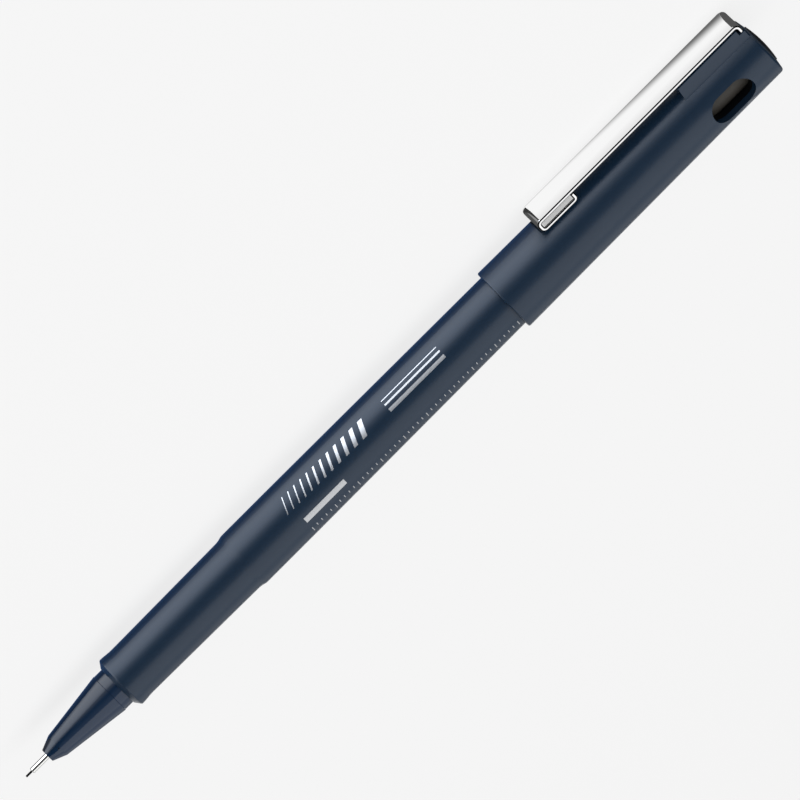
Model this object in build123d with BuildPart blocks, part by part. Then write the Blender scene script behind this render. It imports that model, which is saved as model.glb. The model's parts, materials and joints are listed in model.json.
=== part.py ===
# Fineliner pen with its cap posted on the rear end, as an assembly of separate pieces.
# Lengths are in mm. The pen lies along X with its tip at +X. It rests on its cap and on one edge of its clip,
# which is turned down towards -Y, as a pen comes to rest on a table.
# Profiles are drawn as (station, radius): station is the distance from the writing tip along the pen's axis.

import os
from math import acos, atan2, cos, hypot, radians, sin

from build123d import *

os.makedirs("parts", exist_ok=True)

# Nib and sleeve
NIB_R = 0.175
NIB_OUT = 1.24
NIB_TIP_ROUND = 0.10
NIB_SHAFT_R = 0.40
NIB_SHAFT_IN_RESERVOIR = 12.0
SLEEVE_WALL = 0.31
SLEEVE_OUT = 3.41
SLEEVE_IN = 5.0
SLEEVE_EDGE = 0.10

# Nose
NOSE_FACE_RING = 0.66
NOSE_CONE_RISE = 0.92
NOSE_CONE_LENGTH = 2.25
NOSE_TAPER_LENGTH = 10.77
NOSE_BAND_RISE = 0.07
NOSE_BAND_LENGTH = 0.62
NOSE_NECK_LENGTH = 1.69
NOSE_TAIL_STEP = 0.20
NOSE_TAIL_LENGTH = 13.5
NOSE_TAIL_WALL = 0.90
NOSE_FLOOR = 3.0
GATE_MARK_R = 0.13
GATE_MARK_DEPTH = 0.30
GATE_MARK_INSET = 0.06
GATE_MARK_ANGLE = 28.0

# Barrel outside, from its thickest stretch to the front and to the rear
LAND_R = 5.07
LAND_LENGTH = 10.0
SHOULDER_RISE = 0.27
SHOULDER_LENGTH = 1.50
GRIP_TAPER = 0.215
GRIP_LENGTH = 23.15
LIP_RISE = 0.155
LIP_LENGTH = 3.27
LIP_POSITION = 1.20
LIP_EASE = 0.12
LIP_CHAMFER = 0.66
LIP_CHAMFER_DEPTH = 0.93
FACE_RING = 0.19
BODY_LENGTH = 80.90
BODY_TAPER = 0.2325
REAR_EDGE = 0.25

# Barrel inside, reservoir and rear plug
BARREL_WALL = 1.22
BORE_RAMP = 0.60
RIB_COUNT = 6
RIB_WIDTH = 0.50
RIB_ROOT = 0.20
RIB_HEIGHT = 0.17
FILM_THICKNESS = 0.10
REAR_STEM = 6.5
REAR_WALL = 0.80
REAR_FLANGE = 0.55
REAR_FLANGE_INSET = 0.32
REAR_DOME = 0.35

# Cap outside
CAP_LENGTH = 55.58
CAP_WALL = 0.77
CAP_TAPER = 0.30
MOUTH_ROUND = 0.30
CORNER_LENGTH = 0.51
CORNER_DROP = 0.48
END_SLOPE = 0.25
SLOT_LENGTH = 8.4
SLOT_WIDTH = 4.9
SLOT_TO_CORNER = 8.53

# Cap inside
MOUTH_LEAD = 0.15
RING_HEIGHT = 0.31
RING_WIDTH = 0.60
RING_RAMP = 0.25
SEAT_STEP = 0.67
SEAT_LEAD = 1.25
SEAT_RAMP = 0.60
END_WALL = 1.95
AIR_GROOVE_WIDTH = 3.0
AIR_GROOVE_DEPTH = 0.45
AIR_GROOVE_LEAD = 1.0

# Cap plug
PLUG_SHOULDER = 0.76
PLUG_PROUD = 0.16
PLUG_DOME = 0.34
PLUG_HEAD = 4.1
SKIRT_LEAD = 2.30
SKIRT_WALL = 1.20

# Inner cap
SEAL_LENGTH = 4.6
BELL_WALL = 0.68
BELL_LENGTH = 7.6
BELL_RAMP = 4.5
STEM_WALL = 0.68
STEM_FLOOR = 1.0
CAVITY_RAMP = 9.0

# Clip
CLIP_LENGTH = 44.10
CLIP_WIDTH = 5.25
CLIP_THICKNESS = 0.77
CLIP_EDGE = 0.33
CLIP_END = 0.19
CLIP_TOP_BEND = 1.10
CLIP_FOLD_BEND = 1.00
CLIP_CURL_BEND = 0.89
CLIP_RETURN = 7.81
TAB_SHOULDER = 0.95
TAB_THICKNESS = 0.40
TAB_DEPTH = 2.1
TAB_ROOT = 0.40

# Clip block on the cap
BLOCK_LENGTH = 14.02
BLOCK_HEIGHT = 2.06
BLOCK_DRAFT = 0.35
BLOCK_BORDER = 0.12
BLOCK_ROOT = 0.84
LEDGE_DROP = 1.07

# Clearances
PRESS = 0.02
NIB_PLAY = 0.015
HEAD_PLAY = 0.04
STEM_PLAY = 0.04
CAP_PLAY = 0.057
TAIL_ROOM = 0.50
RESERVOIR_GAP = 0.40
RING_GAP = 0.20
SEAL_GAP = 1.40
BELL_GAP = 0.55
STEM_GAP = 0.70
CLIP_LIFT_GAP = 0.08
CLIP_FOOT_GAP = 0.08
CLIP_CURL_GAP = 0.12
LEDGE_ROOM = 0.30
TAB_SWING = 0.15
TAB_PLAY = 0.04
TAB_SIDE = 0.10

# Stations of the barrel and what it holds, from the tip to the rear
AT_SLEEVE = NIB_OUT
AT_NOSE = AT_SLEEVE + SLEEVE_OUT
AT_SLEEVE_REAR = AT_NOSE + SLEEVE_IN
AT_CONE = AT_NOSE + NOSE_CONE_LENGTH
AT_BAND = AT_CONE + NOSE_TAPER_LENGTH
AT_NECK = AT_BAND + NOSE_BAND_LENGTH
AT_BARREL = AT_NECK + NOSE_NECK_LENGTH
AT_TAIL = AT_BARREL + NOSE_TAIL_LENGTH
AT_GRIP = AT_BARREL + LIP_LENGTH
AT_SHOULDER = AT_GRIP + GRIP_LENGTH
AT_LAND = AT_SHOULDER + SHOULDER_LENGTH
AT_LAND_END = AT_LAND + LAND_LENGTH
AT_REAR = AT_LAND + BODY_LENGTH
AT_BORE = AT_TAIL + TAIL_ROOM
AT_BORE_FULL = AT_BORE + BORE_RAMP
AT_RESERVOIR = AT_BORE_FULL + RESERVOIR_GAP
AT_RESERVOIR_END = AT_REAR - REAR_STEM - RESERVOIR_GAP
AT_SHAFT_END = AT_RESERVOIR + NIB_SHAFT_IN_RESERVOIR
AT_FLANGE = AT_REAR + REAR_FLANGE
AT_REAR_DOME = AT_FLANGE + REAR_DOME

# Stations of the cap: its ring lies behind the rear plug, and what it holds follows from there to its end
AT_RING = AT_REAR_DOME + RING_GAP
AT_RING_END = AT_RING + RING_WIDTH + RING_RAMP * 2
AT_SEAL = AT_RING_END + SEAL_GAP
AT_BELL_RAMP = AT_SEAL + BELL_LENGTH
AT_STEM = AT_BELL_RAMP + BELL_RAMP
AT_CAVITY = AT_SEAL + SEAL_LENGTH
AT_SKIRT = AT_STEM + BELL_GAP
AT_SEAT = AT_SKIRT - SEAT_LEAD
AT_SLOT = AT_SKIRT + SKIRT_LEAD + SLOT_LENGTH / 2
AT_CORNER = AT_SLOT + SLOT_TO_CORNER
AT_FACE = AT_CORNER + CORNER_LENGTH
AT_HOLE = AT_FACE + END_SLOPE
AT_END_WALL = AT_FACE - END_WALL
AT_PLUG_EDGE = AT_HOLE + PLUG_PROUD
AT_APEX = AT_PLUG_EDGE + PLUG_DOME
AT_HEAD = AT_APEX - PLUG_HEAD
AT_STEM_END = AT_HEAD - STEM_GAP
AT_MOUTH = AT_CORNER - CAP_LENGTH

# Stations of the clip and its block
AT_CLIP_END = AT_CORNER + CLIP_END
AT_CLIP_FOLD = AT_CLIP_END - CLIP_LENGTH
AT_CLIP_CURL = AT_CLIP_FOLD + CLIP_RETURN
AT_TAB = AT_CLIP_END - CLIP_THICKNESS
AT_BLOCK = AT_CLIP_END - BLOCK_LENGTH
AT_LEDGE = AT_CLIP_END - CLIP_THICKNESS - LEDGE_ROOM

# Radii of the barrel and what it holds
SLEEVE_R = NIB_R + NIB_PLAY + SLEEVE_WALL
SHAFT_HOLE_R = NIB_SHAFT_R + NIB_PLAY
NOSE_FACE_R = SLEEVE_R + PRESS + NOSE_FACE_RING
NOSE_CONE_R = NOSE_FACE_R + NOSE_CONE_RISE
GRIP_REAR_R = LAND_R - SHOULDER_RISE
GRIP_FRONT_R = GRIP_REAR_R - GRIP_TAPER
GRIP_DRAFT = GRIP_TAPER / GRIP_LENGTH
LIP_R = GRIP_FRONT_R + LIP_RISE
LIP_FRONT_R = LIP_R - LIP_EASE
FACE_R = LIP_FRONT_R - LIP_CHAMFER_DEPTH
NOSE_NECK_R = FACE_R - FACE_RING
TAIL_R = NOSE_NECK_R - NOSE_TAIL_STEP
TAIL_BORE_R = TAIL_R - NOSE_TAIL_WALL
FRONT_BORE_R = TAIL_R + PRESS
REAR_R = LAND_R - BODY_TAPER
BODY_DRAFT = BODY_TAPER / (AT_REAR - REAR_EDGE - AT_LAND_END)
BODY_MOUTH_R = LAND_R - BODY_DRAFT * (AT_MOUTH - AT_LAND_END)
BARREL_BORE_R = LAND_R - BARREL_WALL
RIB_R = BARREL_BORE_R - RIB_HEIGHT
FILM_R = RIB_R - PRESS
FILM_BORE_R = FILM_R - FILM_THICKNESS
RESERVOIR_R = FILM_BORE_R - PRESS
STEM_HOLLOW_R = BARREL_BORE_R - PRESS - REAR_WALL
FLANGE_R = REAR_R - REAR_FLANGE_INSET
REAR_DOME_R = (FLANGE_R**2 + REAR_DOME**2) / (2 * REAR_DOME)

# Radii of the cap and its pieces, and heights of the clip above the pen's axis
CAP_BORE_R = BODY_MOUTH_R + CAP_PLAY
CAP_MOUTH_R = CAP_BORE_R + CAP_WALL
CAP_END_R = CAP_MOUTH_R - CAP_TAPER
CAP_DRAFT = CAP_TAPER / (CAP_LENGTH - MOUTH_ROUND)
CORNER_R = CAP_END_R - CORNER_DROP
RING_R = CAP_BORE_R - RING_HEIGHT
SEAT_R = CAP_BORE_R - SEAT_STEP
AIR_GROOVE_R = SEAT_R + AIR_GROOVE_DEPTH
SKIRT_R = SEAT_R - PRESS
SKIRT_BORE_R = SKIRT_R - SKIRT_WALL
PLUG_R = SKIRT_R - PLUG_SHOULDER
HOLE_R = PLUG_R + HEAD_PLAY
PLUG_DOME_R = (PLUG_R**2 + PLUG_DOME**2) / (2 * PLUG_DOME)
STEM_R = SKIRT_BORE_R - STEM_PLAY
STEM_BORE_R = STEM_R - STEM_WALL
SEAL_R = NOSE_NECK_R + PRESS
BELL_R = SEAL_R + BELL_WALL
BLOCK_FOOT_R = CAP_END_R - BLOCK_ROOT
BLOCK_TOP = CAP_END_R + BLOCK_HEIGHT
LEDGE_TOP = BLOCK_TOP - LEDGE_DROP
TAB_END = LEDGE_TOP - TAB_DEPTH
CLIP_HALF = CLIP_THICKNESS / 2
CLIP_UNDER = BLOCK_TOP + CLIP_LIFT_GAP
CLIP_MIDDLE = CLIP_UNDER + CLIP_HALF
CLIP_FOOT = CAP_MOUTH_R - CAP_DRAFT * (AT_CLIP_FOLD - AT_MOUTH) + CLIP_FOOT_GAP
BLOCK_WIDTH = CLIP_WIDTH + BLOCK_BORDER * 2
TAB_WIDTH = CLIP_WIDTH - TAB_SHOULDER * 2

# Rest: the clip's direction, as an angle from straight down at which its rounded edge meets the table
EDGE_HEIGHT = CLIP_UNDER + CLIP_THICKNESS - CLIP_EDGE
EDGE_SIDE = CLIP_WIDTH / 2 - CLIP_EDGE
CLIP_TURN = acos((CAP_MOUTH_R - CLIP_EDGE) / hypot(EDGE_HEIGHT, EDGE_SIDE)) + atan2(EDGE_SIDE, EDGE_HEIGHT)
CLIP_REACH = EDGE_HEIGHT * sin(CLIP_TURN) + EDGE_SIDE * cos(CLIP_TURN) + CLIP_EDGE

# Frame: origin on the table, under the middle of the pen's length and width
TIP_X = AT_APEX / 2
AXIS_Y = (CLIP_REACH - CAP_MOUTH_R) / 2
AXIS_Z = CAP_MOUTH_R
PEN_AXIS = Axis((0, AXIS_Y, AXIS_Z), (1, 0, 0))
CLIP_DIRECTION = Vector(0, -sin(CLIP_TURN), -cos(CLIP_TURN))
SLOT_DIRECTION = Vector(0, -cos(CLIP_TURN), sin(CLIP_TURN))
PROFILE = Plane(origin=(TIP_X, AXIS_Y, AXIS_Z), x_dir=(-1, 0, 0), z_dir=SLOT_DIRECTION)


def section(station):
    """Plane across the pen at a station, facing its rear end."""
    return Plane(origin=(TIP_X - station, AXIS_Y, AXIS_Z), x_dir=SLOT_DIRECTION, z_dir=(-1, 0, 0))


# The gate mark's plane faces out between the vent slot and the clip
GATE_TURN = radians(GATE_MARK_ANGLE)
GATE_DIRECTION = SLOT_DIRECTION * cos(GATE_TURN) + CLIP_DIRECTION * sin(GATE_TURN)
GATE_PLANE = Plane(
    origin=section(AT_CONE - GATE_MARK_R - GATE_MARK_INSET).origin + GATE_DIRECTION * NOSE_CONE_R,
    x_dir=(1, 0, 0),
    z_dir=GATE_DIRECTION,
)

# Nib: the thin writing point, and a thicker shaft that stops behind the sleeve
with BuildPart() as nib:
    with BuildSketch(PROFILE):
        with BuildLine():
            Polyline(
                (NIB_TIP_ROUND, NIB_R),
                (AT_SLEEVE_REAR + PRESS, NIB_R),
                (AT_SLEEVE_REAR + PRESS, NIB_SHAFT_R),
                (AT_SHAFT_END, NIB_SHAFT_R),
                (AT_SHAFT_END, 0),
                (0, 0),
                (0, NIB_R - NIB_TIP_ROUND),
            )
            RadiusArc((0, NIB_R - NIB_TIP_ROUND), (NIB_TIP_ROUND, NIB_R), NIB_TIP_ROUND)
        make_face()
    revolve(axis=PEN_AXIS)
nib.part.label = "nib"
export_step(nib.part, "parts/nib.step")

# Sleeve: a steel tube held in the nose
with BuildPart() as nib_sleeve:
    with BuildSketch(PROFILE):
        with BuildLine():
            Polyline(
                (AT_SLEEVE, NIB_R + NIB_PLAY),
                (AT_SLEEVE, SLEEVE_R - SLEEVE_EDGE),
                (AT_SLEEVE + SLEEVE_EDGE, SLEEVE_R),
                (AT_SLEEVE_REAR, SLEEVE_R),
                (AT_SLEEVE_REAR, NIB_R + NIB_PLAY),
                close=True,
            )
        make_face()
    revolve(axis=PEN_AXIS)
nib_sleeve.part.label = "nib_sleeve"
export_step(nib_sleeve.part, "parts/nib_sleeve.step")

# Nose: its neck seats on the barrel's front face and its tail is pressed into the barrel
with BuildPart() as nose_cone:
    with BuildSketch(PROFILE):
        with BuildLine():
            Polyline(
                (AT_NOSE, SLEEVE_R + PRESS),
                (AT_NOSE, NOSE_FACE_R),
                (AT_CONE, NOSE_CONE_R),
                (AT_BAND, NOSE_NECK_R),
                (AT_NECK, NOSE_NECK_R + NOSE_BAND_RISE),
                (AT_NECK + NOSE_BAND_RISE, NOSE_NECK_R),
                (AT_BARREL, NOSE_NECK_R),
                (AT_BARREL, TAIL_R),
                (AT_TAIL, TAIL_R),
                (AT_TAIL, TAIL_BORE_R),
                (AT_BARREL + NOSE_FLOOR, TAIL_BORE_R),
                (AT_BARREL + NOSE_FLOOR, SHAFT_HOLE_R),
                (AT_SLEEVE_REAR, SHAFT_HOLE_R),
                (AT_SLEEVE_REAR, SLEEVE_R + PRESS),
                close=True,
            )
        make_face()
    revolve(axis=PEN_AXIS)
    # Small round mark of the moulding gate at the end of the front cone
    with BuildSketch(GATE_PLANE):
        Circle(GATE_MARK_R)
    extrude(amount=GATE_MARK_DEPTH, both=True, mode=Mode.SUBTRACT)
nose_cone.part.label = "nose_cone"
export_step(nose_cone.part, "parts/nose_cone.step")

# Barrel: rounded lip, tapered grip, shoulder, a true cylinder behind it, then a drafted body
with BuildPart() as barrel:
    with BuildSketch(PROFILE):
        with BuildLine():
            Polyline(
                (AT_RESERVOIR_END, BARREL_BORE_R),
                (AT_BORE_FULL, BARREL_BORE_R),
                (AT_BORE, FRONT_BORE_R),
                (AT_BARREL, FRONT_BORE_R),
                (AT_BARREL, FACE_R),
                (AT_BARREL + LIP_CHAMFER, LIP_FRONT_R),
            )
            Spline(
                (AT_BARREL + LIP_CHAMFER, LIP_FRONT_R),
                (AT_BARREL + LIP_POSITION, LIP_R),
                (AT_GRIP, GRIP_FRONT_R),
                tangents=[(LIP_CHAMFER, LIP_CHAMFER_DEPTH), (1, GRIP_DRAFT)],
            )
            Line((AT_GRIP, GRIP_FRONT_R), (AT_SHOULDER, GRIP_REAR_R))
            Spline((AT_SHOULDER, GRIP_REAR_R), (AT_LAND, LAND_R), tangents=[(1, GRIP_DRAFT), (1, 0)])
            Polyline(
                (AT_LAND, LAND_R),
                (AT_LAND_END, LAND_R),
                (AT_REAR - REAR_EDGE, REAR_R),
                (AT_REAR, REAR_R - REAR_EDGE),
                (AT_REAR, BARREL_BORE_R),
                (AT_RESERVOIR_END, BARREL_BORE_R),
            )
        make_face()
    revolve(axis=PEN_AXIS)
    # Ribs along the bore centre the reservoir and leave air channels beside it
    with BuildSketch(section(AT_RESERVOIR)):
        with PolarLocations((RIB_R + BARREL_BORE_R + RIB_ROOT) / 2, RIB_COUNT):
            Rectangle(RIB_HEIGHT + RIB_ROOT, RIB_WIDTH)
    extrude(amount=AT_RESERVOIR_END - AT_RESERVOIR)
barrel.part.label = "barrel"
export_step(barrel.part, "parts/barrel.step")

# Reservoir: a fibre rod with a blind hole for the nib's shaft
with BuildPart() as ink_reservoir:
    with BuildSketch(PROFILE):
        with BuildLine():
            Polyline(
                (AT_RESERVOIR, SHAFT_HOLE_R),
                (AT_RESERVOIR, RESERVOIR_R),
                (AT_RESERVOIR_END, RESERVOIR_R),
                (AT_RESERVOIR_END, 0),
                (AT_SHAFT_END + NIB_PLAY, 0),
                (AT_SHAFT_END + NIB_PLAY, SHAFT_HOLE_R),
                close=True,
            )
        make_face()
    revolve(axis=PEN_AXIS)
ink_reservoir.part.label = "ink_reservoir"
export_step(ink_reservoir.part, "parts/ink_reservoir.step")

# Film: the wrap round the reservoir
with BuildPart() as reservoir_film:
    with BuildSketch(section(AT_RESERVOIR)):
        Circle(FILM_R)
        Circle(FILM_BORE_R, mode=Mode.SUBTRACT)
    extrude(amount=AT_RESERVOIR_END - AT_RESERVOIR)
reservoir_film.part.label = "reservoir_film"
export_step(reservoir_film.part, "parts/reservoir_film.step")

# Rear plug: a hollow stem pressed into the bore, and a flange with a domed face
with BuildPart() as barrel_plug:
    with BuildSketch(PROFILE):
        with BuildLine():
            Polyline(
                (AT_REAR_DOME, 0),
                (AT_REAR, 0),
                (AT_REAR, STEM_HOLLOW_R),
                (AT_REAR - REAR_STEM, STEM_HOLLOW_R),
                (AT_REAR - REAR_STEM, BARREL_BORE_R - PRESS),
                (AT_REAR, BARREL_BORE_R - PRESS),
                (AT_REAR, FLANGE_R),
                (AT_FLANGE, FLANGE_R),
            )
            RadiusArc((AT_FLANGE, FLANGE_R), (AT_REAR_DOME, 0), REAR_DOME_R)
        make_face()
    revolve(axis=PEN_AXIS)
barrel_plug.part.label = "barrel_plug"
export_step(barrel_plug.part, "parts/barrel_plug.step")

# Cap shell: drafted tube with a rounded end, a snap ring inside and a seat for the plug's skirt
with BuildPart() as cap_shell:
    with BuildSketch(PROFILE):
        with BuildLine():
            Polyline(
                (AT_MOUTH, CAP_MOUTH_R - MOUTH_ROUND),
                (AT_MOUTH, CAP_BORE_R + MOUTH_LEAD),
                (AT_MOUTH + MOUTH_LEAD, CAP_BORE_R),
                (AT_RING, CAP_BORE_R),
                (AT_RING + RING_RAMP, RING_R),
                (AT_RING_END - RING_RAMP, RING_R),
                (AT_RING_END, CAP_BORE_R),
                (AT_SEAT, CAP_BORE_R),
                (AT_SEAT + SEAT_RAMP, SEAT_R),
                (AT_END_WALL, SEAT_R),
                (AT_END_WALL, HOLE_R),
                (AT_HOLE, HOLE_R),
                (AT_FACE, CORNER_R),
            )
            TangentArc((AT_CORNER, CAP_END_R), (AT_FACE, CORNER_R), tangent=(1, -CAP_DRAFT))
            Line((AT_CORNER, CAP_END_R), (AT_MOUTH + MOUTH_ROUND, CAP_MOUTH_R))
            RadiusArc(
                (AT_MOUTH, CAP_MOUTH_R - MOUTH_ROUND), (AT_MOUTH + MOUTH_ROUND, CAP_MOUTH_R), MOUTH_ROUND
            )
        make_face()
    revolve(axis=PEN_AXIS)
    # Block under the clip, with a lower ledge that the clip's leg comes down on
    with BuildSketch(PROFILE):
        with BuildLine():
            Polyline(
                (AT_BLOCK, BLOCK_FOOT_R),
                (AT_BLOCK + BLOCK_DRAFT, BLOCK_TOP),
                (AT_LEDGE, BLOCK_TOP),
                (AT_LEDGE, LEDGE_TOP),
                (AT_CLIP_END, LEDGE_TOP),
                (AT_CLIP_END, BLOCK_FOOT_R),
                close=True,
            )
        make_face()
    extrude(amount=BLOCK_WIDTH / 2, both=True)
    # Pocket for the clip's tab, wider on the side that the tab swings to
    with BuildSketch(PROFILE):
        with BuildLine():
            Polyline(
                (AT_TAB - TAB_SWING, LEDGE_TOP + TAB_ROOT),
                (AT_TAB - TAB_SWING, TAB_END - TAB_SWING),
                (AT_TAB + TAB_THICKNESS + TAB_PLAY, TAB_END - TAB_SWING),
                (AT_TAB + TAB_THICKNESS + TAB_PLAY, LEDGE_TOP + TAB_ROOT),
                close=True,
            )
        make_face()
    extrude(amount=TAB_WIDTH / 2 + TAB_SIDE, both=True, mode=Mode.SUBTRACT)
    # Vent slots through both sides, and the grooves that bring air to them past the plug's skirt
    with BuildSketch(PROFILE):
        with Locations((AT_SLOT, 0)):
            SlotOverall(SLOT_LENGTH, SLOT_WIDTH)
    extrude(amount=CAP_MOUTH_R, both=True, mode=Mode.SUBTRACT)
    with BuildSketch(PROFILE):
        with Locations((AT_SLOT, 0)):
            Rectangle(
                AT_SLOT - AT_SEAT + AIR_GROOVE_LEAD,
                AIR_GROOVE_WIDTH,
                align=(Align.MAX, Align.CENTER),
            )
    extrude(amount=AIR_GROOVE_R, both=True, mode=Mode.SUBTRACT)
cap_shell.part.label = "cap_shell"
export_step(cap_shell.part, "parts/cap_shell.step")

# Cap plug: domed head in the cap's end hole, shoulder behind the end wall, slotted skirt in the shell
with BuildPart() as cap_plug:
    with BuildSketch(PROFILE):
        with BuildLine():
            Polyline(
                (AT_APEX, 0),
                (AT_HEAD, 0),
                (AT_HEAD, SKIRT_BORE_R),
                (AT_SKIRT, SKIRT_BORE_R),
                (AT_SKIRT, SKIRT_R),
                (AT_END_WALL - PRESS, SKIRT_R),
                (AT_END_WALL - PRESS, PLUG_R),
                (AT_PLUG_EDGE, PLUG_R),
            )
            RadiusArc((AT_PLUG_EDGE, PLUG_R), (AT_APEX, 0), PLUG_DOME_R)
        make_face()
    revolve(axis=PEN_AXIS)
    with BuildSketch(PROFILE):
        with Locations((AT_SLOT, 0)):
            SlotOverall(SLOT_LENGTH, SLOT_WIDTH)
    extrude(amount=CAP_MOUTH_R, both=True, mode=Mode.SUBTRACT)
cap_plug.part.label = "cap_plug"
export_step(cap_plug.part, "parts/cap_plug.step")

# Inner cap: a bell that seals on the nose's neck, and a closed stem held in the plug's skirt
with BuildPart() as inner_cap:
    with BuildSketch(PROFILE):
        with BuildLine():
            Polyline(
                (AT_SEAL, SEAL_R),
                (AT_SEAL, BELL_R),
                (AT_BELL_RAMP, BELL_R),
                (AT_STEM, STEM_R),
                (AT_STEM_END, STEM_R),
                (AT_STEM_END, 0),
                (AT_STEM_END - STEM_FLOOR, 0),
                (AT_STEM_END - STEM_FLOOR, STEM_BORE_R),
                (AT_CAVITY + CAVITY_RAMP, STEM_BORE_R),
                (AT_CAVITY, SEAL_R),
                close=True,
            )
        make_face()
    revolve(axis=PEN_AXIS)
inner_cap.part.label = "inner_cap"
export_step(inner_cap.part, "parts/inner_cap.step")

# Clip: a strip swept from the leg over the top bend, along the arm, round the fold and up the curl
with BuildPart() as clip:
    with BuildLine(PROFILE) as clip_path:
        FilletPolyline(
            (AT_CLIP_END - CLIP_HALF, LEDGE_TOP + TAB_PLAY),
            (AT_CLIP_END - CLIP_HALF, CLIP_MIDDLE),
            (AT_CLIP_FOLD + CLIP_HALF, CLIP_MIDDLE),
            (AT_CLIP_FOLD + CLIP_HALF, CLIP_FOOT + CLIP_HALF),
            (AT_CLIP_CURL - CLIP_HALF, CLIP_FOOT + CLIP_HALF),
            (AT_CLIP_CURL - CLIP_HALF, CLIP_UNDER - CLIP_CURL_GAP),
            radius=[
                CLIP_TOP_BEND - CLIP_HALF,
                CLIP_FOLD_BEND - CLIP_HALF,
                CLIP_FOLD_BEND - CLIP_HALF,
                CLIP_CURL_BEND - CLIP_HALF,
            ],
        )
    with BuildSketch(Plane(origin=clip_path.line @ 0, x_dir=SLOT_DIRECTION, z_dir=clip_path.line % 0)):
        RectangleRounded(CLIP_WIDTH, CLIP_THICKNESS, CLIP_EDGE)
    sweep(path=clip_path.line)
    # Tab that goes down into the cap's pocket
    with BuildSketch(PROFILE):
        with BuildLine():
            Polyline(
                (AT_TAB, LEDGE_TOP + TAB_ROOT),
                (AT_TAB, TAB_END),
                (AT_TAB + TAB_THICKNESS, TAB_END),
                (AT_TAB + TAB_THICKNESS, LEDGE_TOP + TAB_ROOT),
                close=True,
            )
        make_face()
    extrude(amount=TAB_WIDTH / 2, both=True)
clip.part.label = "clip"
export_step(clip.part, "parts/clip.step")
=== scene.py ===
# %% [markdown]
# # Dressing a fineliner pen
# The pen lies on a white table with its cap pushed onto the rear of its barrel. A round pen with a clip
# rolls until one edge of the clip touches the table, so it rests there and on the rim of its cap. Its
# eleven pieces come from a CAD model, at their real size. This script sets up the camera, the table and the
# light of a product photograph, gives each piece its finish and stamps foil marks onto the barrel.

# %% Load the pen
import json
from math import asin, cos, degrees, pi, radians, sin

import bmesh
import bpy
from mathutils import Matrix, Vector


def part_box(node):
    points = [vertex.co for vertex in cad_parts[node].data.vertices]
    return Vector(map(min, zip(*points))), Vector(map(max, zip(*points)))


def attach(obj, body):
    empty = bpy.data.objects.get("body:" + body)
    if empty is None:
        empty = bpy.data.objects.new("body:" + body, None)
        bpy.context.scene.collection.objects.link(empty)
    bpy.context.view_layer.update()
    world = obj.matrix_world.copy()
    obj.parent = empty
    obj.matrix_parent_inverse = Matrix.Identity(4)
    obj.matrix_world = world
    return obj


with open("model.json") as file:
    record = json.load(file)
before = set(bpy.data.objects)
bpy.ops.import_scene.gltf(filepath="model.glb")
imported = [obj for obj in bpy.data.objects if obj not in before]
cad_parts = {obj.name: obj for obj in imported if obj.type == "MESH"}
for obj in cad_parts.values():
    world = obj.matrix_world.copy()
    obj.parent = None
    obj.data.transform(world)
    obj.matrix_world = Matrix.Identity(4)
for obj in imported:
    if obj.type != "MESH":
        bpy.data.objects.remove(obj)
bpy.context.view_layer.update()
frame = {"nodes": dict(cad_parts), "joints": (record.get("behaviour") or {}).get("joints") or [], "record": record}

nodes = frame["nodes"]
print("pieces from the CAD model:", ", ".join(sorted(nodes)))

# %% [markdown]
# ## Finding the way round the pen
# A pen is easiest to describe by how far a point lies behind the tip and how far round the axis it is
# turned. The CAD record already holds what is needed: the mount on the barrel lies on the axis, and the
# clip's hinge crosses the pen, so its axis gives the direction of the vent slots. A cross product then
# gives the direction of the clip. Reading these keeps every later step right if the CAD model changes.

# %% Directions on the pen
MM = 0.001
mounts = {mount["name"]: mount for mount in frame["record"]["mounts"]}
joints = {joint["name"]: joint for joint in frame["joints"]}
land = mounts["holder_land"]
AXIS_POINT = Vector(land["pos_m"])
TIP_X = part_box("nib")[1].x
TO_CAP = Vector((-1, 0, 0))
TO_SLOT = -Vector(joints["clip_flex"]["axis"])
TO_CLIP = TO_SLOT.cross(TO_CAP)


def on_axis(station):
    """The point on the pen's axis that lies this many millimetres behind the tip."""
    return Vector((TIP_X - station * MM, AXIS_POINT.y, AXIS_POINT.z))


def outward(turn):
    """The direction away from the axis, this many degrees round from the clip towards the slot."""
    return TO_CLIP * cos(radians(turn)) + TO_SLOT * sin(radians(turn))


print("the clip points", [round(value, 3) for value in TO_CLIP])

# %% [markdown]
# ## The camera
# The photograph was taken square to the pen with a long lens, so the pen shows no perspective and runs up
# to the right at 45 degrees. Its tip and its slope fix the camera: the pen's own direction and the
# direction across it are turned into the picture's right and up. A very long lens keeps the view almost
# parallel.

# %% Camera
PHOTO_SIZE = 800  # pixels
TIP_PIXEL = Vector((26.27, 776.77))
MM_PER_PIXEL = 0.155
PEN_SLOPE = radians(44.97)
CAMERA_TURN = 49.75  # degrees round the pen, from the clip to the camera
LENS = 700
SENSOR = 36

camera_data = bpy.data.cameras.new("studio_camera")
camera_data.lens = LENS
camera_data.sensor_width = SENSOR
camera = bpy.data.objects.new("studio_camera", camera_data)
bpy.context.collection.objects.link(camera)
bpy.context.scene.camera = camera

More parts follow.
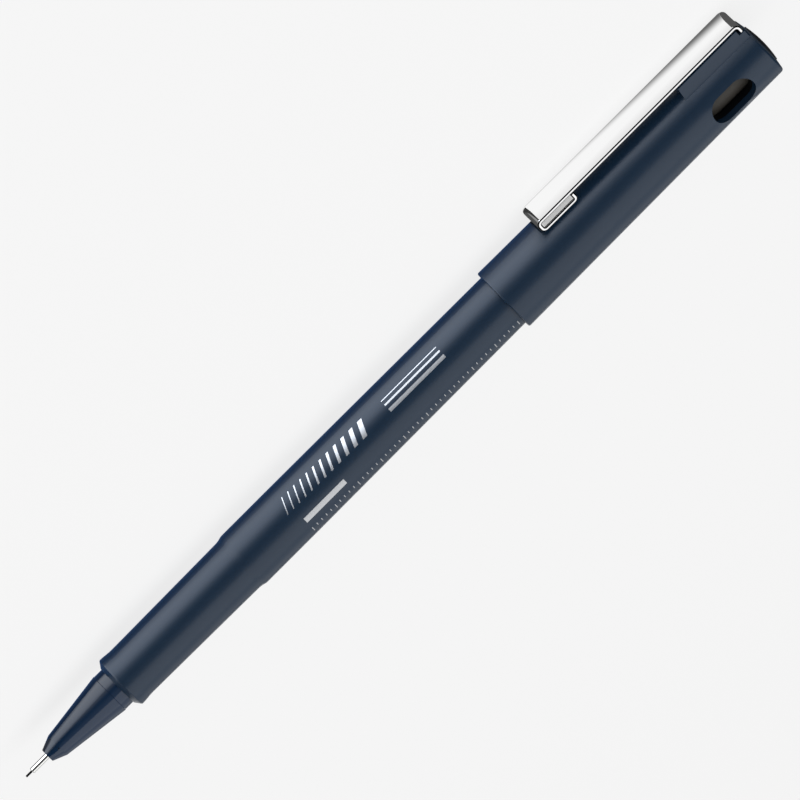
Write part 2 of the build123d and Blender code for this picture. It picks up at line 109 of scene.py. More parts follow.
to_camera = outward(CAMERA_TURN)
to_far_side = outward(CAMERA_TURN - 90)
picture_right = TO_CAP * cos(PEN_SLOPE) - to_far_side * sin(PEN_SLOPE)
picture_up = TO_CAP * sin(PEN_SLOPE) + to_far_side * cos(PEN_SLOPE)
right_of_tip = (PHOTO_SIZE / 2 - TIP_PIXEL.x) * MM_PER_PIXEL * MM
above_tip = (TIP_PIXEL.y - PHOTO_SIZE / 2) * MM_PER_PIXEL * MM
looked_at = on_axis(0) + picture_right * right_of_tip + picture_up * above_tip
camera_distance = PHOTO_SIZE * MM_PER_PIXEL * MM * LENS / SENSOR
camera.matrix_world = Matrix.LocRotScale(
    looked_at + to_camera * camera_distance,
    Matrix((picture_right, picture_up, to_camera)).transposed(),
    None,
)
print("camera elevation:", round(degrees(asin(to_camera.z)), 1), "degrees")
print("camera distance:", round(camera_distance, 2), "m")

# %% [markdown]
# ## Adding nodes
# Every material below is a small tree of nodes. One function adds a node, sets its properties and fills its
# inputs. An input that is given another node's output is linked to it, and any other value is set on the
# socket. Several inputs of a Mix node share a name, and those of a Math node do too, so theirs are given by
# number. Colours are written as they look on a screen, and a second function turns them into the linear
# light that the shaders use.

# %% Node and colour helpers
def add(tree, kind, inputs=(), **settings):
    """Adds a node to a tree, with its settings, and fills or links its inputs."""
    made = tree.nodes.new(kind)
    for name, value in settings.items():
        setattr(made, name, value)
    for key, value in dict(inputs).items():
        if isinstance(value, bpy.types.NodeSocket):
            tree.links.new(value, made.inputs[key])
        else:
            made.inputs[key].default_value = value
    return made


def linear(hex_colour):
    """The linear colour of an sRGB hex value."""
    channels = [int(hex_colour[start : start + 2], 16) / 255 for start in (1, 3, 5)]
    return [c / 12.92 if c <= 0.04045 else ((c + 0.055) / 1.055) ** 2.4 for c in channels] + [1]


def per_mm(size):
    """The scale at which a noise has features about this many millimetres across."""
    return 1 / (size * MM)


def empty_material(name):
    """A new material with no nodes in it."""
    made = bpy.data.materials.new(name)
    made.use_nodes = True
    made.node_tree.nodes.clear()
    return made


print("white is", linear("#ffffff"))

# %% [markdown]
# ## The table
# The table is a plain pale sheet. Part of its white is a glow that shows only to the camera, in mirrors and
# through clear things. It brings the background to the photograph's near white without throwing more light
# onto the pen, and the diffuse part under it still takes the pen's shadow.

# %% Table
TABLE_SIZE = 12  # metres
TABLE_GLOW = 0.80
PAPER_GREY = "#747474"

table_material = empty_material("pale_paper_sweep")
tree = table_material.node_tree
path = add(tree, "ShaderNodeLightPath")
seen = add(tree, "ShaderNodeMath", {0: path.outputs["Is Camera Ray"], 1: path.outputs["Is Glossy Ray"]})
shown = add(
    tree,
    "ShaderNodeMath",
    {0: seen.outputs[0], 1: path.outputs["Is Transmission Ray"]},
    use_clamp=True,
)
glow = add(tree, "ShaderNodeMath", {0: shown.outputs[0], 1: TABLE_GLOW}, operation="MULTIPLY")
paper = add(tree, "ShaderNodeBsdfDiffuse", {"Color": linear(PAPER_GREY)})
light = add(tree, "ShaderNodeEmission", {"Strength": glow.outputs[0]})
both = add(tree, "ShaderNodeAddShader", {0: paper.outputs[0], 1: light.outputs[0]})
add(tree, "ShaderNodeOutputMaterial", {"Surface": both.outputs[0]})


def sheet(name, centre, width, depth, material, tip=0):
    """A sheet in the studio, which isn't part of the pen, tipped up by some degrees about Y."""
    bm = bmesh.new()
    bmesh.ops.create_grid(bm, x_segments=1, y_segments=1, size=0.5)  # one metre square
    bmesh.ops.scale(bm, vec=(width, depth, 1), verts=bm.verts)
    bmesh.ops.rotate(bm, matrix=Matrix.Rotation(radians(tip), 3, "Y"), verts=bm.verts)
    bmesh.ops.translate(bm, vec=centre, verts=bm.verts)
    mesh = bpy.data.meshes.new(name)
    bm.to_mesh(mesh)
    bm.free()
    mesh.materials.append(material)
    made = bpy.data.objects.new(name, mesh)
    bpy.context.collection.objects.link(made)
    return made


sheet("table", (0, 0, 0), TABLE_SIZE, TABLE_SIZE, table_material)
print("table:", TABLE_SIZE, "m square")

# %% [markdown]
# ## The light
# A large softbox hangs over the table. The room in front stays dark between a pale horizon and the light
# that spills beside the softbox. So the barrel shows the softbox as a soft grey lower half, and the dark
# room as a stripe along its middle. Behind the table the softbox lights the ceiling and, more weakly, the
# wall. Fill light comes from a second softbox in front and, more weakly, from the whole room. Both work on
# diffuse surfaces only, so that they brighten the pen's own colours and put no extra highlights on them.

# %% Softboxes
OVERHEAD = 0.9  # radiance, where 1 is as bright as white paper
OVERHEAD_SIZE = (2.4, 0.82)  # metres
OVERHEAD_PLACE = (0, -0.08, 0.8)  # metres
FRONT_FILL = 0.75
FRONT_SIZE = (2.4, 0.8)
FRONT_PLACE = (0, -1.2, 0.35)
FRONT_TIP = 74  # degrees


def softbox(name, size, place, tip, radiance):
    """A softbox that shines straight down, or faces the back when it is tipped up by some degrees."""
    width, depth = size
    data = bpy.data.lights.new(name, "AREA")
    data.shape = "RECTANGLE"
    data.size = width
    data.size_y = depth
    data.energy = radiance * pi * width * depth
    made = bpy.data.objects.new(name, data)
    bpy.context.collection.objects.link(made)
    made.location = place
    made.rotation_euler.x = radians(tip)
    made.visible_camera = False
    return made


softbox("overhead_softbox", OVERHEAD_SIZE, OVERHEAD_PLACE, 0, OVERHEAD)
front_softbox = softbox("front_softbox", FRONT_SIZE, FRONT_PLACE, FRONT_TIP, FRONT_FILL)
front_softbox.visible_glossy = False
print("softboxes:", [lamp.name for lamp in bpy.data.lights])

# %% Room
FILL = 0.3
WALL_GLOW = 0.08
CEILING_GLOW = 0.9
CEILING_FROM = 0.45  # heights in the room run from 0 at the horizon to 1 overhead
FRONT_GLOW = 0.8
FRONT_UNTIL = 0.36
ROOM_GLOW = 0.05
SPILL = 0.24
SPILL_RISE = (0.4, 0.75)
BACK_WALL = (0.3, 0.4)  # where the wall begins, from 0 at the side to 1 at the back

room = bpy.data.worlds.new("studio_room")
room.use_nodes = True
bpy.context.scene.world = room
tree = room.node_tree
tree.nodes.clear()
direction = add(tree, "ShaderNodeTexCoord")
towards = add(tree, "ShaderNodeSeparateXYZ", {0: direction.outputs["Generated"]})
height = towards.outputs["Z"]
wall = add(
    tree,
    "ShaderNodeMapRange",
    {"Value": height, "From Min": 0, "From Max": CEILING_FROM, "To Min": WALL_GLOW, "To Max": CEILING_GLOW},
    interpolation_type="SMOOTHSTEP",
)
front = add(
    tree,
    "ShaderNodeMapRange",
    {"Value": height, "From Min": 0, "From Max": FRONT_UNTIL, "To Min": FRONT_GLOW, "To Max": ROOM_GLOW},
    interpolation_type="SMOOTHSTEP",
)
spill = add(
    tree,
    "ShaderNodeMapRange",
    {"Value": height, "From Min": SPILL_RISE[0], "From Max": SPILL_RISE[1], "To Max": SPILL},
    interpolation_type="SMOOTHSTEP",
)
ahead = add(tree, "ShaderNodeMath", {0: front.outputs[0], 1: spill.outputs[0]})
behind = add(
    tree,
    "ShaderNodeMapRange",
    {"Value": towards.outputs["Y"], "From Min": BACK_WALL[0], "From Max": BACK_WALL[1]},
    interpolation_type="SMOOTHSTEP",
)
mirrored = add(tree, "ShaderNodeMix", {0: behind.outputs[0], 2: ahead.outputs[0], 3: wall.outputs[0]})
path = add(tree, "ShaderNodeLightPath")
level = add(tree, "ShaderNodeMix", {0: path.outputs["Is Diffuse Ray"], 2: mirrored.outputs[0], 3: FILL})
background = add(tree, "ShaderNodeBackground", {"Strength": level.outputs[0]})
add(tree, "ShaderNodeOutputWorld", {"Surface": background.outputs[0]})

bpy.context.scene.view_settings.view_transform = "Standard"
print("fill light:", FILL, "behind the table:", WALL_GLOW, "to", CEILING_GLOW, "room in front:", ROOM_GLOW)

# %% [markdown]
# ## Reflector cards
# Shiny things are lit by what they mirror, so a product photographer sets cards round them. Cards in front
# give the barrel, the cap and the nose their light upper band. Under the pen they carry a painted shadow in
# dark blue, which draws a dark edge against the white table. A white card beside the clip keeps its polished
# face white, with painted shade along its far edge. Dark cards close to the clip's fold and bend, some lying
# and some upright across the pen, give both their grey, and a pale one lights the folded loop. A black card
# over the front of the table draws the dark line along the nib's sleeve. The cards glow, and only mirrors
# see them.

# %% How a card is made
BRIGHT = 3.35  # radiance of the brightest cards near the pen
DISTANT = 2.0  # what is left of it far from the pen
FALL = (-45, -6)  # mm, from far in front to near the pen
COOL_WHITE = "#f0f6ff"


def shaded_material(name, dark_until, bright_from, under):
    """A glowing card: a painted shadow tone under the pen, cool white from a place in front, dimmer far out."""
    made = empty_material(name)
    tree = made.node_tree
    place = add(tree, "ShaderNodeTexCoord").outputs["Object"]
    y = add(tree, "ShaderNodeSeparateXYZ", {0: place}).outputs["Y"]
    rise = add(
        tree,
        "ShaderNodeMapRange",
        {"Value": y, "From Min": bright_from * MM, "From Max": dark_until * MM},
        interpolation_type="SMOOTHSTEP",
    )
    # Painted shadow: the card turns to its dark tone under the pen.
    tone = add(
        tree,
        "ShaderNodeMix",
        {0: rise.outputs[0], 6: linear(COOL_WHITE), 7: linear(under)},
        data_type="RGBA",
    )
    fall = add(
        tree,
        "ShaderNodeMapRange",
        {
            "Value": y,
            "From Min": FALL[0] * MM,
            "From Max": FALL[1] * MM,
            "To Min": DISTANT,
            "To Max": BRIGHT,
        },
    )
    shine = add(tree, "ShaderNodeEmission", {"Color": tone.outputs[2], "Strength": fall.outputs[0]})
    add(tree, "ShaderNodeOutputMaterial", {"Surface": shine.outputs[0]})
    return made


def card(name, x_range, y_range, z_range, material):
    """A card between ranges in millimetres, lying or upright across the pen, which only mirrors see."""
    low, high = (Vector(corner) * MM for corner in zip(x_range, y_range, z_range))
    size = high - low
    made = sheet(name, (low + high) / 2, max(size.x, size.z), size.y, material, tip=0 if size.x else 90)
    made.visible_camera = False
    made.visible_diffuse = False
    made.visible_transmission = False
    made.visible_shadow = False
    return made


print("shaded cards shine with", BRIGHT, "near the pen and", DISTANT, "far from it")

# %% Cards in front of the pen
# Painted shadow tones, which the cards take under the pen, where the table lies in the pen's shade.
PAINTED_SHADOW_BLUE = "#2b3d5c"
PAINTED_SHADOW_GREY = "#4a4a4a"
CARD_ENDS = 130  # mm from the middle of the pen
CARD_DEPTH = (-150, 14)  # mm, from the front to behind the pen
CAP_CARD_DEPTH = (-150, -20)
ON_TABLE = (0.1, 0.1)  # mm
BEND = 0.8  # mm along the pen that the clip's bend takes up

barrel_shade = shaded_material("satin_reflector_card", dark_until=-1.95, bright_from=-7.7, under=PAINTED_SHADOW_BLUE)
mouth_shade = shaded_material("mouth_reflector_card", dark_until=-1.9, bright_from=-9.4, under=PAINTED_SHADOW_BLUE)
nose_shade = shaded_material("gloss_reflector_card", dark_until=-1.7, bright_from=-5.1, under=PAINTED_SHADOW_BLUE)
sleeve_shade = shaded_material("sleeve_reflector_card", dark_until=-1.5, bright_from=-4.5, under=PAINTED_SHADOW_GREY)
bend_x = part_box("clip")[0].x / MM + BEND
fold_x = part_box("clip")[1].x / MM
mouth_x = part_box("cap_shell")[1].x / MM
nose_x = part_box("barrel")[1].x / MM
cone_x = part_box("nose_cone")[1].x / MM

card("sleeve_card", (cone_x, CARD_ENDS), CARD_DEPTH, ON_TABLE, sleeve_shade)
card("nose_card", (nose_x, cone_x), CARD_DEPTH, ON_TABLE, nose_shade)
card("barrel_card", (mouth_x, nose_x), CARD_DEPTH, ON_TABLE, barrel_shade)
card("mouth_card", (fold_x, mouth_x), CARD_DEPTH, ON_TABLE, mouth_shade)
card("cap_card", (bend_x, fold_x), CAP_CARD_DEPTH, ON_TABLE, barrel_shade)
print("cards end", CARD_ENDS, "mm from the middle of the pen")

# %% Clip card
CLIP_STRIP = (-9.5, -3.0)  # mm, the part of the table that the clip's face mirrors
CLIP_WHITE = 1.02
SHADE_EDGE = 3.18  # mm in front of the middle of the pen's box; the shade lies behind this line
SHADE_BLUR = (-0.6, 0.9)  # mm on either side of that edge
SHADE_SLOPE = 0.036  # how fast the shade widens towards the cap's end
SHADE_TONE = 0.15
NEAR_FADE = (-8.2, -7.2)  # mm, where the near edge dims
NEAR_TONE = 0.87

# The shade on this card is painted: it darkens the table that the clip mirrors near its far edge, more towards the
# cap's end.
clip_white = empty_material("white_reflector_card")
tree = clip_white.node_tree
place = add(tree, "ShaderNodeTexCoord").outputs["Object"]
from_shade = add(tree, "ShaderNodeVectorMath", {0: place, 1: (SHADE_SLOPE, -1, 0)}, operation="DOT_PRODUCT")
shade = add(
    tree,
    "ShaderNodeMapRange",
    {
        "Value": from_shade.outputs["Value"],
        "From Min": (SHADE_EDGE + SHADE_BLUR[0]) * MM,
        "From Max": (SHADE_EDGE + SHADE_BLUR[1]) * MM,
        "To Min": SHADE_TONE,
        "To Max": CLIP_WHITE,
    },
    interpolation_type="SMOOTHSTEP",
)
y = add(tree, "ShaderNodeSeparateXYZ", {0: place}).outputs["Y"]
near = add(
    tree,
    "ShaderNodeMapRange",
    {
        "Value": y,
        "From Min": NEAR_FADE[0] * MM,
        "From Max": NEAR_FADE[1] * MM,
        "To Min": NEAR_TONE,
        "To Max": 1,
    },
)
shine = add(tree, "ShaderNodeEmission", {"Color": near.outputs[0], "Strength": shade.outputs[0]})
add(tree, "ShaderNodeOutputMaterial", {"Surface": shine.outputs[0]})

card("clip_card", (bend_x, fold_x), CLIP_STRIP, ON_TABLE, clip_white)
print("clip card:", round(fold_x - bend_x, 1), "mm long")

# %% Striped card
STRIPE_WIDTH = 0.6  # mm
STRIPE_DARK, STRIPE_LIGHT = 0.085, 0.3

clip_face = max(vertex.co.dot(TO_CLIP) for vertex in nodes["clip"].data.vertices)
fold_shade = empty_material("striped_grey_card")
tree = fold_shade.node_tree
place = add(tree, "ShaderNodeTexCoord").outputs["Object"]
reach = add(tree, "ShaderNodeVectorMath", {0: place, 1: TO_CLIP}, operation="DOT_PRODUCT")
stripe = add(
    tree,
    "ShaderNodeMapRange",
    {
        "Value": reach.outputs["Value"],
        "From Min": clip_face,
        "From Max": clip_face + STRIPE_WIDTH * MM,
        "To Min": STRIPE_DARK,
        "To Max": STRIPE_LIGHT,
    },
    interpolation_type="SMOOTHSTEP",
)
shine = add(tree, "ShaderNodeEmission", {"Strength": stripe.outputs[0]})
add(tree, "ShaderNodeOutputMaterial", {"Surface": shine.outputs[0]})
face_height = clip_face - AXIS_POINT.dot(TO_CLIP)
print("the clip's face lies", round(face_height / MM, 2), "mm from the pen's axis")

# %% Cards round the clip's ends and the tip
PALE_GLOW, DARK_GLOW, DARKER_GLOW, DARKEST_GLOW = 0.78, 0.09, 0.04, 0.01  # radiance
OVER_CARD = (0.2, 0.2)  # mm; a card on another lies a little higher
TOP_CARD = (0.3, 0.3)
UPRIGHT = (0.1, 6)  # mm from the foot of an upright card to its top
BESIDE_CLIP = (CLIP_STRIP[0], 0)  # mm
LOOP_LENGTH = 9  # mm
LOOP_DEPTH = (-4.6, 3)
FOLD_BEHIND, FOLD_AHEAD = 0.85, 0.25  # mm from the fold to the ends of its cards
BEND_BEHIND = 1.05  # mm
END_DEPTH = (0, 100)  # mm
WALL_DEPTH, WALL_HEIGHT = (-60, 100), (0.1, 80)  # mm
TIP_DEPTH, TIP_HEIGHT = (-35, -1.5), (12, 12)  # mm


def glow_material(name, radiance):
    """A card that shines evenly with this radiance."""
    made = empty_material(name)
    shine = add(made.node_tree, "ShaderNodeEmission", {"Strength": radiance})
    add(made.node_tree, "ShaderNodeOutputMaterial", {"Surface": shine.outputs[0]})
    return made


pale_grey = glow_material("pale_grey_card", PALE_GLOW)
dark_grey = glow_material("dark_grey_card", DARK_GLOW)
near_black = glow_material("near_black_card", DARKER_GLOW)
black = glow_material("black_card", DARKEST_GLOW)
fold_front_x = fold_x + FOLD_AHEAD
bend_rear_x = bend_x - BEND_BEHIND
card("loop_card", (fold_x - LOOP_LENGTH, fold_x), LOOP_DEPTH, OVER_CARD, pale_grey)
card("fold_card", (fold_x - FOLD_BEHIND, fold_front_x), BESIDE_CLIP, TOP_CARD, near_black)
card("fold_front_card", (fold_front_x, fold_front_x), BESIDE_CLIP, UPRIGHT, fold_shade)
card("bend_card", (bend_rear_x, bend_x), BESIDE_CLIP, OVER_CARD, dark_grey)
card("bend_rear_card", (bend_rear_x, bend_rear_x), BESIDE_CLIP, UPRIGHT, dark_grey)
card("end_card", (-CARD_ENDS, bend_x), END_DEPTH, OVER_CARD, dark_grey)
card("end_wall_card", (-CARD_ENDS, -CARD_ENDS), WALL_DEPTH, WALL_HEIGHT, dark_grey)
card("tip_card", (cone_x, CARD_ENDS), TIP_DEPTH, TIP_HEIGHT, black)
print("cards round the fold, at x =", round(fold_x, 1), "mm, and the bend, at x =", round(bend_x, 1), "mm")

# %% [markdown]
# ## Moulded plastics
# The barrel and the cap are polypropylene, moulded against a finely blasted tool: a deep navy with a broad
# soft sheen and a grain too fine to see one by one. The nose comes from a polished tool and mirrors its
# surroundings in crisp bands. The plugs, the inner cap, the nib and the film are plastics too, from black
# to pale grey. One function makes them all, because they differ only in colour, in gloss and in how deep
# the grain is.

# %% How a plastic is made
CLOUD = 5.0  # mm across a faint change of tone in the pigment
GRAIN = 0.3  # mm; the real grain is about 0.05 mm, drawn coarser so that it shows
GRAIN_DEPTH = 0.002  # mm
PLASTIC_IOR = 1.5


def moulded_plastic(name, tones, roughness, shine, relief):
    """A pigmented plastic between two tones, with a roughness range and the relief of its tool's grain."""
    made = empty_material(name)
    tree = made.node_tree
    place = add(tree, "ShaderNodeTexCoord").outputs["Object"]
    cloud = add(tree, "ShaderNodeTexNoise", {"Vector": place, "Scale": per_mm(CLOUD), "Detail": 3})
    tone = add(
        tree,
        "ShaderNodeMix",
        {0: cloud.outputs[0], 6: linear(tones[0]), 7: linear(tones[1])},
        data_type="RGBA",
    )
    grain = add(tree, "ShaderNodeTexNoise", {"Vector": place, "Scale": per_mm(GRAIN), "Detail": 2})
    gloss = add(
        tree,
        "ShaderNodeMapRange",
        {"Value": grain.outputs[0], "To Min": roughness[0], "To Max": roughness[1]},
    )
    bump = add(
        tree,
        "ShaderNodeBump",
        {"Height": grain.outputs[0], "Strength": relief, "Distance": GRAIN_DEPTH * MM},
    )
    shader = add(
        tree,
        "ShaderNodeBsdfPrincipled",
        {
            "Base Color": tone.outputs[2],
            "Roughness": gloss.outputs[0],
            "IOR": PLASTIC_IOR,
            "Specular IOR Level": shine,
            "Normal": bump.outputs[0],
        },
    )
    add(tree, "ShaderNodeOutputMaterial", {"Surface": shader.outputs[0]})
    return made


print("grain:", GRAIN, "mm across and", GRAIN_DEPTH, "mm deep")

# %% Plastics
# A blasted tool gives a broad soft sheen.
satin_navy = moulded_plastic(
    "satin_navy_polypropylene", ("#122c44", "#163048"), roughness=(0.28, 0.34), shine=0.5, relief=0.1
)
# A polished tool gives crisp bands of light.
gloss_navy = moulded_plastic(
    "polished_navy_polypropylene", ("#162e4c", "#18324f"), roughness=(0.07, 0.11), shine=0.53, relief=0.05
)
# A plain smooth tool gives black plastic a dull glint.
gloss_black = moulded_plastic(
    "smooth_black_polypropylene", ("#0c0d10", "#121317"), roughness=(0.40, 0.50), shine=0.2, relief=0.2
)
# Soft polyethylene comes out matt.
matt_grey = moulded_plastic(
    "matt_grey_polyethylene", ("#403d38", "#484540"), roughness=(0.45, 0.60), shine=0.35, relief=0.3
)
# The nib is acetal, soaked with ink, which leaves it black and without sheen.
ink_black = moulded_plastic(
    "inked_black_acetal", ("#030304", "#08090b"), roughness=(0.45, 0.60), shine=0.1, relief=0.4
)
# Stretching makes the film slick and pale.
pale_film = moulded_plastic(
    "stretched_polyester_film", ("#c4c8cc", "#d2d6da"), roughness=(0.12, 0.22), shine=0.5, relief=0.1
)
plastics = (satin_navy, gloss_navy, gloss_black, matt_grey, ink_black, pale_film)
print("plastics:", [plastic.name for plastic in plastics])

# %% [markdown]
# ## Metals
# The clip is a strip of spring steel, polished and plated until it is almost a mirror, and the nib sits in
# a drawn stainless tube. Rolling and drawing leave faint lines along the metal. A noise that is stretched
# along the pen gives them, and varies only the roughness, because the lines are far too shallow to bend the
# reflections. The round between the strip's faces and sides is painted dark, a painted reflection of dark
# surroundings. There the surface leans halfway between face and side, so the direction that it faces is
# enough to find it. The far edge is painted a little darker too.

# %% How a metal is made
LINE_WIDTH = 0.25  # mm between rolling lines
LINE_STRETCH = 0.02  # the lines are fifty times as long as they are wide
PAINTED_EDGE_LEAN = 0.71  # how far the middle of the painted dark edge faces sideways, from 0 on the face to 1 on the side
PAINTED_EDGE_REACH = (0.22, 0.27)  # how far from there the painted dark edge starts to fade, and is gone
PAINTED_FAR_EDGE = (0.06, 0.16)  # how far the surface faces the far side where the painted darkening starts, and is darkest
PAINTED_FAR_TONE = 0.6  # how much of the polished tone is left there under the painted darkening


def tone_with_painted_dark_edges(tree, polished, edge):
    """The tone of a polished strip, with a painted dark reflection where its edges turn over."""
    facing = add(tree, "ShaderNodeNewGeometry").outputs["Normal"]
    sideways = add(tree, "ShaderNodeVectorMath", {0: facing, 1: TO_SLOT}, operation="DOT_PRODUCT")
    lean = sideways.outputs["Value"]
    from_edge = add(tree, "ShaderNodeMath", {0: lean, 1: PAINTED_EDGE_LEAN}, operation="SUBTRACT")
    away = add(tree, "ShaderNodeMath", {0: from_edge.outputs[0]}, operation="ABSOLUTE")
    near = add(
        tree,
        "ShaderNodeMapRange",
        {"Value": away.outputs[0], "From Min": PAINTED_EDGE_REACH[0], "From Max": PAINTED_EDGE_REACH[1]},
        interpolation_type="SMOOTHSTEP",
    )
    far = add(
        tree,
        "ShaderNodeMapRange",
        {
            "Value": lean,
            "From Min": -PAINTED_FAR_EDGE[1],
            "From Max": -PAINTED_FAR_EDGE[0],
            "To Min": PAINTED_FAR_TONE,
            "To Max": 1,
        },
    )
    # Painted dark reflection: the edge tone takes over on the rounds and, more weakly, on the far edge.
    share = add(tree, "ShaderNodeMath", {0: near.outputs[0], 1: far.outputs[0]}, operation="MULTIPLY")
    tone = add(
        tree,
        "ShaderNodeMix",
        {0: share.outputs[0], 6: linear(edge), 7: linear(polished)},
        data_type="RGBA",
    )
    return tone.outputs[2]


def drawn_metal(name, colour, roughness, edge=None):
    """A polished metal with faint lines along the pen, and a painted dark reflection on the edges of a strip."""
    made = empty_material(name)
    tree = made.node_tree
    place = add(tree, "ShaderNodeTexCoord").outputs["Object"]
    stretched = add(tree, "ShaderNodeMapping", {"Vector": place, "Scale": (LINE_STRETCH, 1, 1)})
    lines = add(tree, "ShaderNodeTexNoise", {"Vector": stretched.outputs[0], "Scale": per_mm(LINE_WIDTH)})
    gloss = add(
        tree,
        "ShaderNodeMapRange",
        {"Value": lines.outputs[0], "To Min": roughness[0], "To Max": roughness[1]},
    )
    tone = tone_with_painted_dark_edges(tree, colour, edge) if edge else linear(colour)
    shader = add(
        tree,
        "ShaderNodeBsdfPrincipled",
        {"Base Color": tone, "Metallic": 1, "Roughness": gloss.outputs[0]},
    )
    add(tree, "ShaderNodeOutputMaterial", {"Surface": shader.outputs[0]})
    return made


print("rolling lines:", LINE_WIDTH, "mm apart")

# %% Metals
# Polishing and plating give almost a mirror; its rounded edges carry a painted dark reflection.
plated_steel = drawn_metal(
    "polished_plated_spring_steel", "#f4f4f4", roughness=(0.03, 0.10), edge="#1c1c1e"
)
# Drawing through a die leaves a bright tube with a slightly softer gloss.
stainless = drawn_metal("drawn_stainless_tube", "#eeeeec", roughness=(0.06, 0.14))
print("metals:", plated_steel.name, stainless.name)

# %% [markdown]
# ## The ink reservoir
# Inside the barrel lies a rod of polyester fibre, soaked with ink and wrapped in film. The fibres run along
# the rod, so the same stretched noise serves, now as colour and as bump.

# %% Fibre
FIBRE_WIDTH = 0.2  # mm across a bundle of fibres
FIBRE_DEPTH = 0.05  # mm
FIBRE_TONES = ("#0a0b0e", "#2a2c33")
FIBRE_ROUGHNESS = 0.8


def bonded_fibre():
    """Ink-soaked polyester fibre, matt and streaky along the rod."""
    made = empty_material("inked_polyester_fibre")
    tree = made.node_tree
    place = add(tree, "ShaderNodeTexCoord").outputs["Object"]
    stretched = add(tree, "ShaderNodeMapping", {"Vector": place, "Scale": (LINE_STRETCH, 1, 1)})
    strands = add(
        tree,
        "ShaderNodeTexNoise",
        {"Vector": stretched.outputs[0], "Scale": per_mm(FIBRE_WIDTH), "Detail": 4},
    )
    tone = add(
        tree,
        "ShaderNodeMix",
        {0: strands.outputs[0], 6: linear(FIBRE_TONES[0]), 7: linear(FIBRE_TONES[1])},
        data_type="RGBA",
    )
    bump = add(tree, "ShaderNodeBump", {"Height": strands.outputs[0], "Distance": FIBRE_DEPTH * MM})
    shader = add(
        tree,
        "ShaderNodeBsdfPrincipled",
        {"Base Color": tone.outputs[2], "Roughness": FIBRE_ROUGHNESS, "Normal": bump.outputs[0]},
    )
    add(tree, "ShaderNodeOutputMaterial", {"Surface": shader.outputs[0]})
    return made


fibre = bonded_fibre()
print("fibre:", fibre.name)

# %% [markdown]
# ## Putting the finishes on
# Each piece from the CAD model has one material slot, so its finish is a matter of filling that slot.

# %% Finish of each piece
finishes = {
    "barrel": satin_navy,
    "nose_cone": gloss_navy,
    "nib_sleeve": stainless,
    "nib": ink_black,
    "ink_reservoir": fibre,
    "reservoir_film": pale_film,
    "barrel_plug": gloss_black,
    "cap_shell": satin_navy,
    "cap_plug": gloss_black,
    "inner_cap": matt_grey,
    "clip": plated_steel,
}
for name, finish in finishes.items():
    for slot in nodes[name].material_slots:
        slot.material = finish
print("finished pieces:", len(finishes))

# %% [markdown]
# ## Foil marks
# Silver foil is stamped onto the barrel with a hot die, so it lies in the surface and bends round it. A
# flat mark would have to be wrapped. Here each stroke starts as an edge that lies along the barrel, and
# spinning that edge part of the way round the pen's axis sweeps out a strip that already has the barrel's
# curve. A spin that also shifts along the axis gives a slanting stroke. The marks are what a drawing pen
# may carry: a row of strokes in rising line widths, three ruled lines, a bar and a fine millimetre scale.

# %% Radius of the barrel
REAR_REACH = 0.5  # mm from the barrel's rear end within which its radius is read
LAND_RADIUS = land["dims"]["r_mm"]
LAND_END = TIP_X / MM - AXIS_POINT.x / MM + land["dims"]["length_mm"] / 2  # mm behind the tip
barrel_rear = max((TIP_X - corner.x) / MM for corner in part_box("barrel"))


def outside_radius(name, station, reach):
    """The largest radius, in mm, of a piece's vertices this close to a station."""
    found = [
        (vertex.co - on_axis((TIP_X - vertex.co.x) / MM)).length / MM
        for vertex in nodes[name].data.vertices
        if abs((TIP_X - vertex.co.x) / MM - station) < reach
    ]
    return max(found)


REAR_RADIUS = outside_radius("barrel", barrel_rear, REAR_REACH)


def barrel_radius(station):
    """The barrel's radius in mm: level on the land, then tapering evenly to the rear."""
    past = max(0, station - LAND_END) / (barrel_rear - LAND_END)
    return LAND_RADIUS + (REAR_RADIUS - LAND_RADIUS) * past


print("barrel radius:", LAND_RADIUS, "to", round(REAR_RADIUS, 3), "mm")

# %% Foil strokes
FOIL_RAISED = 0.012  # mm above the plastic
STEP = 3  # degrees between the edges of a curved strip


def stroke(bm, station, length, turn, sweep, lean=0):
    """Adds a strip of foil from a station and turn, swept round the barrel and leaning along it."""
    stations = [station, station + length]
    if station < LAND_END < station + length:
        stations.insert(1, LAND_END)
    line = [
        bm.verts.new(on_axis(place) + outward(turn) * (barrel_radius(place) + FOIL_RAISED) * MM)
        for place in stations
    ]
    edges = [bm.edges.new(ends) for ends in zip(line, line[1:])]
    steps = max(1, round(sweep / STEP))
    bmesh.ops.spin(
        bm,
        geom=line + edges,
        cent=on_axis(0),
        axis=TO_CAP,
        dvec=TO_CAP * lean * MM / steps,
        angle=radians(sweep),
        steps=steps,
    )


print("foil stands", FOIL_RAISED, "mm above the plastic")

# %% Foil finish
PINHOLE = 0.15  # mm; gaps in the foil are finer, drawn as coarse as shows
FOIL_TONES = ("#bfc1c4", "#cdcfd2")
FOIL_ROUGHNESS = (0.38, 0.52)


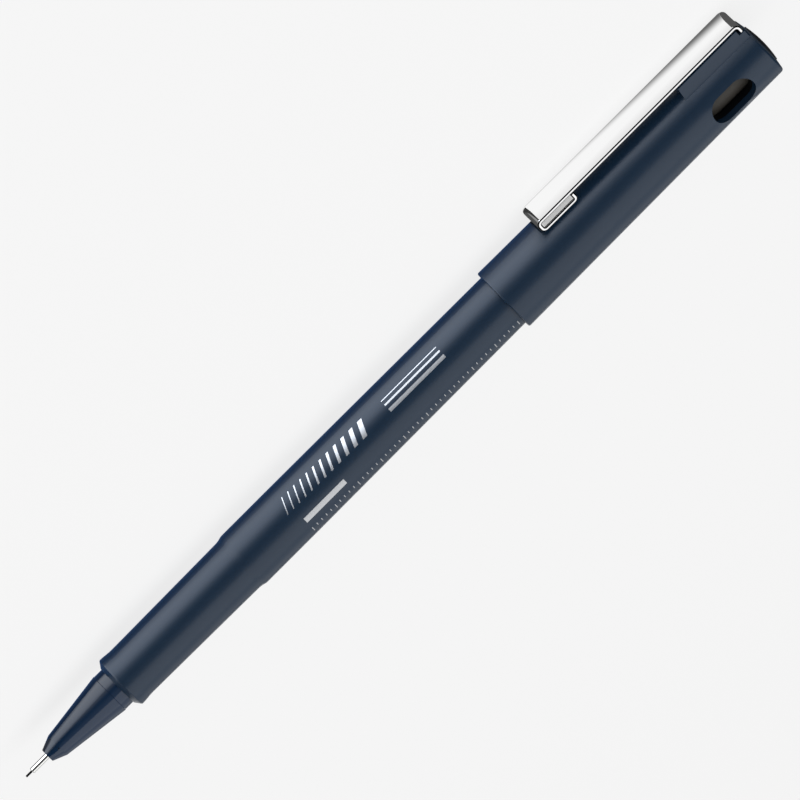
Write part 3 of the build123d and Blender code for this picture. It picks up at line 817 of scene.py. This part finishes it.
def hot_foil():
    """Hot-stamped aluminium foil: a bright soft mirror, a little uneven where the die pressed it."""
    made = empty_material("hot_stamped_silver_foil")
    tree = made.node_tree
    place = add(tree, "ShaderNodeTexCoord").outputs["Object"]
    press = add(tree, "ShaderNodeTexNoise", {"Vector": place, "Scale": per_mm(PINHOLE), "Detail": 3})
    gloss = add(
        tree,
        "ShaderNodeMapRange",
        {"Value": press.outputs[0], "To Min": FOIL_ROUGHNESS[0], "To Max": FOIL_ROUGHNESS[1]},
    )
    tone = add(
        tree,
        "ShaderNodeMix",
        {0: press.outputs[0], 6: linear(FOIL_TONES[0]), 7: linear(FOIL_TONES[1])},
        data_type="RGBA",
    )
    shader = add(
        tree,
        "ShaderNodeBsdfPrincipled",
        {"Base Color": tone.outputs[2], "Metallic": 1, "Roughness": gloss.outputs[0]},
    )
    add(tree, "ShaderNodeOutputMaterial", {"Surface": shader.outputs[0]})
    return made


foil = hot_foil()
print("foil:", foil.name)

# %% Foil pieces
FOIL_THICKNESS = 0.03  # mm, most of it pressed into the plastic


def foil_piece(name, bm):
    """Closes the strips of a bmesh into thin foil that rides on the barrel."""
    bmesh.ops.recalc_face_normals(bm, faces=bm.faces)
    inward = [face for face in bm.faces if face.normal.dot(face.calc_center_median() - AXIS_POINT) < 0]
    bmesh.ops.reverse_faces(bm, faces=inward)
    bmesh.ops.solidify(bm, geom=bm.faces[:], thickness=FOIL_THICKNESS * MM)
    mesh = bpy.data.meshes.new(name)
    bm.to_mesh(mesh)
    bm.free()
    mesh.materials.append(foil)
    piece = bpy.data.objects.new(name, mesh)
    bpy.context.collection.objects.link(piece)
    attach(piece, "barrel")
    return piece


print("foil is", FOIL_THICKNESS, "mm thick")

# %% Line width samples
HATCH_START, HATCH_END = 58.6, 76.0  # mm behind the tip
HATCH_TURN, HATCH_SWEEP = 18, 31  # degrees
HATCH_LEAN = -1.2  # mm
HATCH_COUNT = 12
HATCH_THIN, HATCH_BOLD = 0.15, 0.9  # mm

widths = [HATCH_THIN * (HATCH_BOLD / HATCH_THIN) ** (i / (HATCH_COUNT - 1)) for i in range(HATCH_COUNT)]
hatch_gap = (HATCH_END - HATCH_START - sum(widths)) / (HATCH_COUNT - 1)
bm = bmesh.new()
start = HATCH_START
for width in widths:
    stroke(bm, start, width, HATCH_TURN, HATCH_SWEEP, HATCH_LEAN)
    start += width + hatch_gap
samples = foil_piece("foil_line_samples", bm)
print("line samples:", HATCH_COUNT, "strokes,", len(samples.data.polygons), "faces")

# %% Ruled lines and bar
RULED_START, RULED_LENGTH = 80.0, 12.0  # mm
RULED_LINES = ((22, 1.5), (31, 3.5), (42, 7))  # degrees: where each line starts, and how wide it is
BAR_START, BAR_LENGTH = 58.7, 8.7  # mm
BAR_TURN, BAR_SWEEP = 74, 11  # degrees

bm = bmesh.new()
for turn, sweep in RULED_LINES:
    stroke(bm, RULED_START, RULED_LENGTH, turn, sweep)
ruled = foil_piece("foil_ruled_lines", bm)

bm = bmesh.new()
stroke(bm, BAR_START, BAR_LENGTH, BAR_TURN, BAR_SWEEP)
bar = foil_piece("foil_bar", bm)
print("ruled lines and bar:", len(ruled.data.polygons) + len(bar.data.polygons), "faces")

# %% Millimetre scale
SCALE_START, SCALE_LENGTH = 58.7, 45  # mm
SCALE_TURN = 101  # degrees
TICK_WIDTH = 0.14  # mm
TICK_SWEEP, FIFTH_SWEEP = 7, 13  # degrees

bm = bmesh.new()
for mark in range(SCALE_LENGTH + 1):
    sweep = TICK_SWEEP if mark % 5 else FIFTH_SWEEP
    stroke(bm, SCALE_START + mark - TICK_WIDTH / 2, TICK_WIDTH, SCALE_TURN, sweep)
ticks = foil_piece("foil_millimetre_scale", bm)
print("scale:", SCALE_LENGTH + 1, "ticks,", len(ticks.data.polygons), "faces")
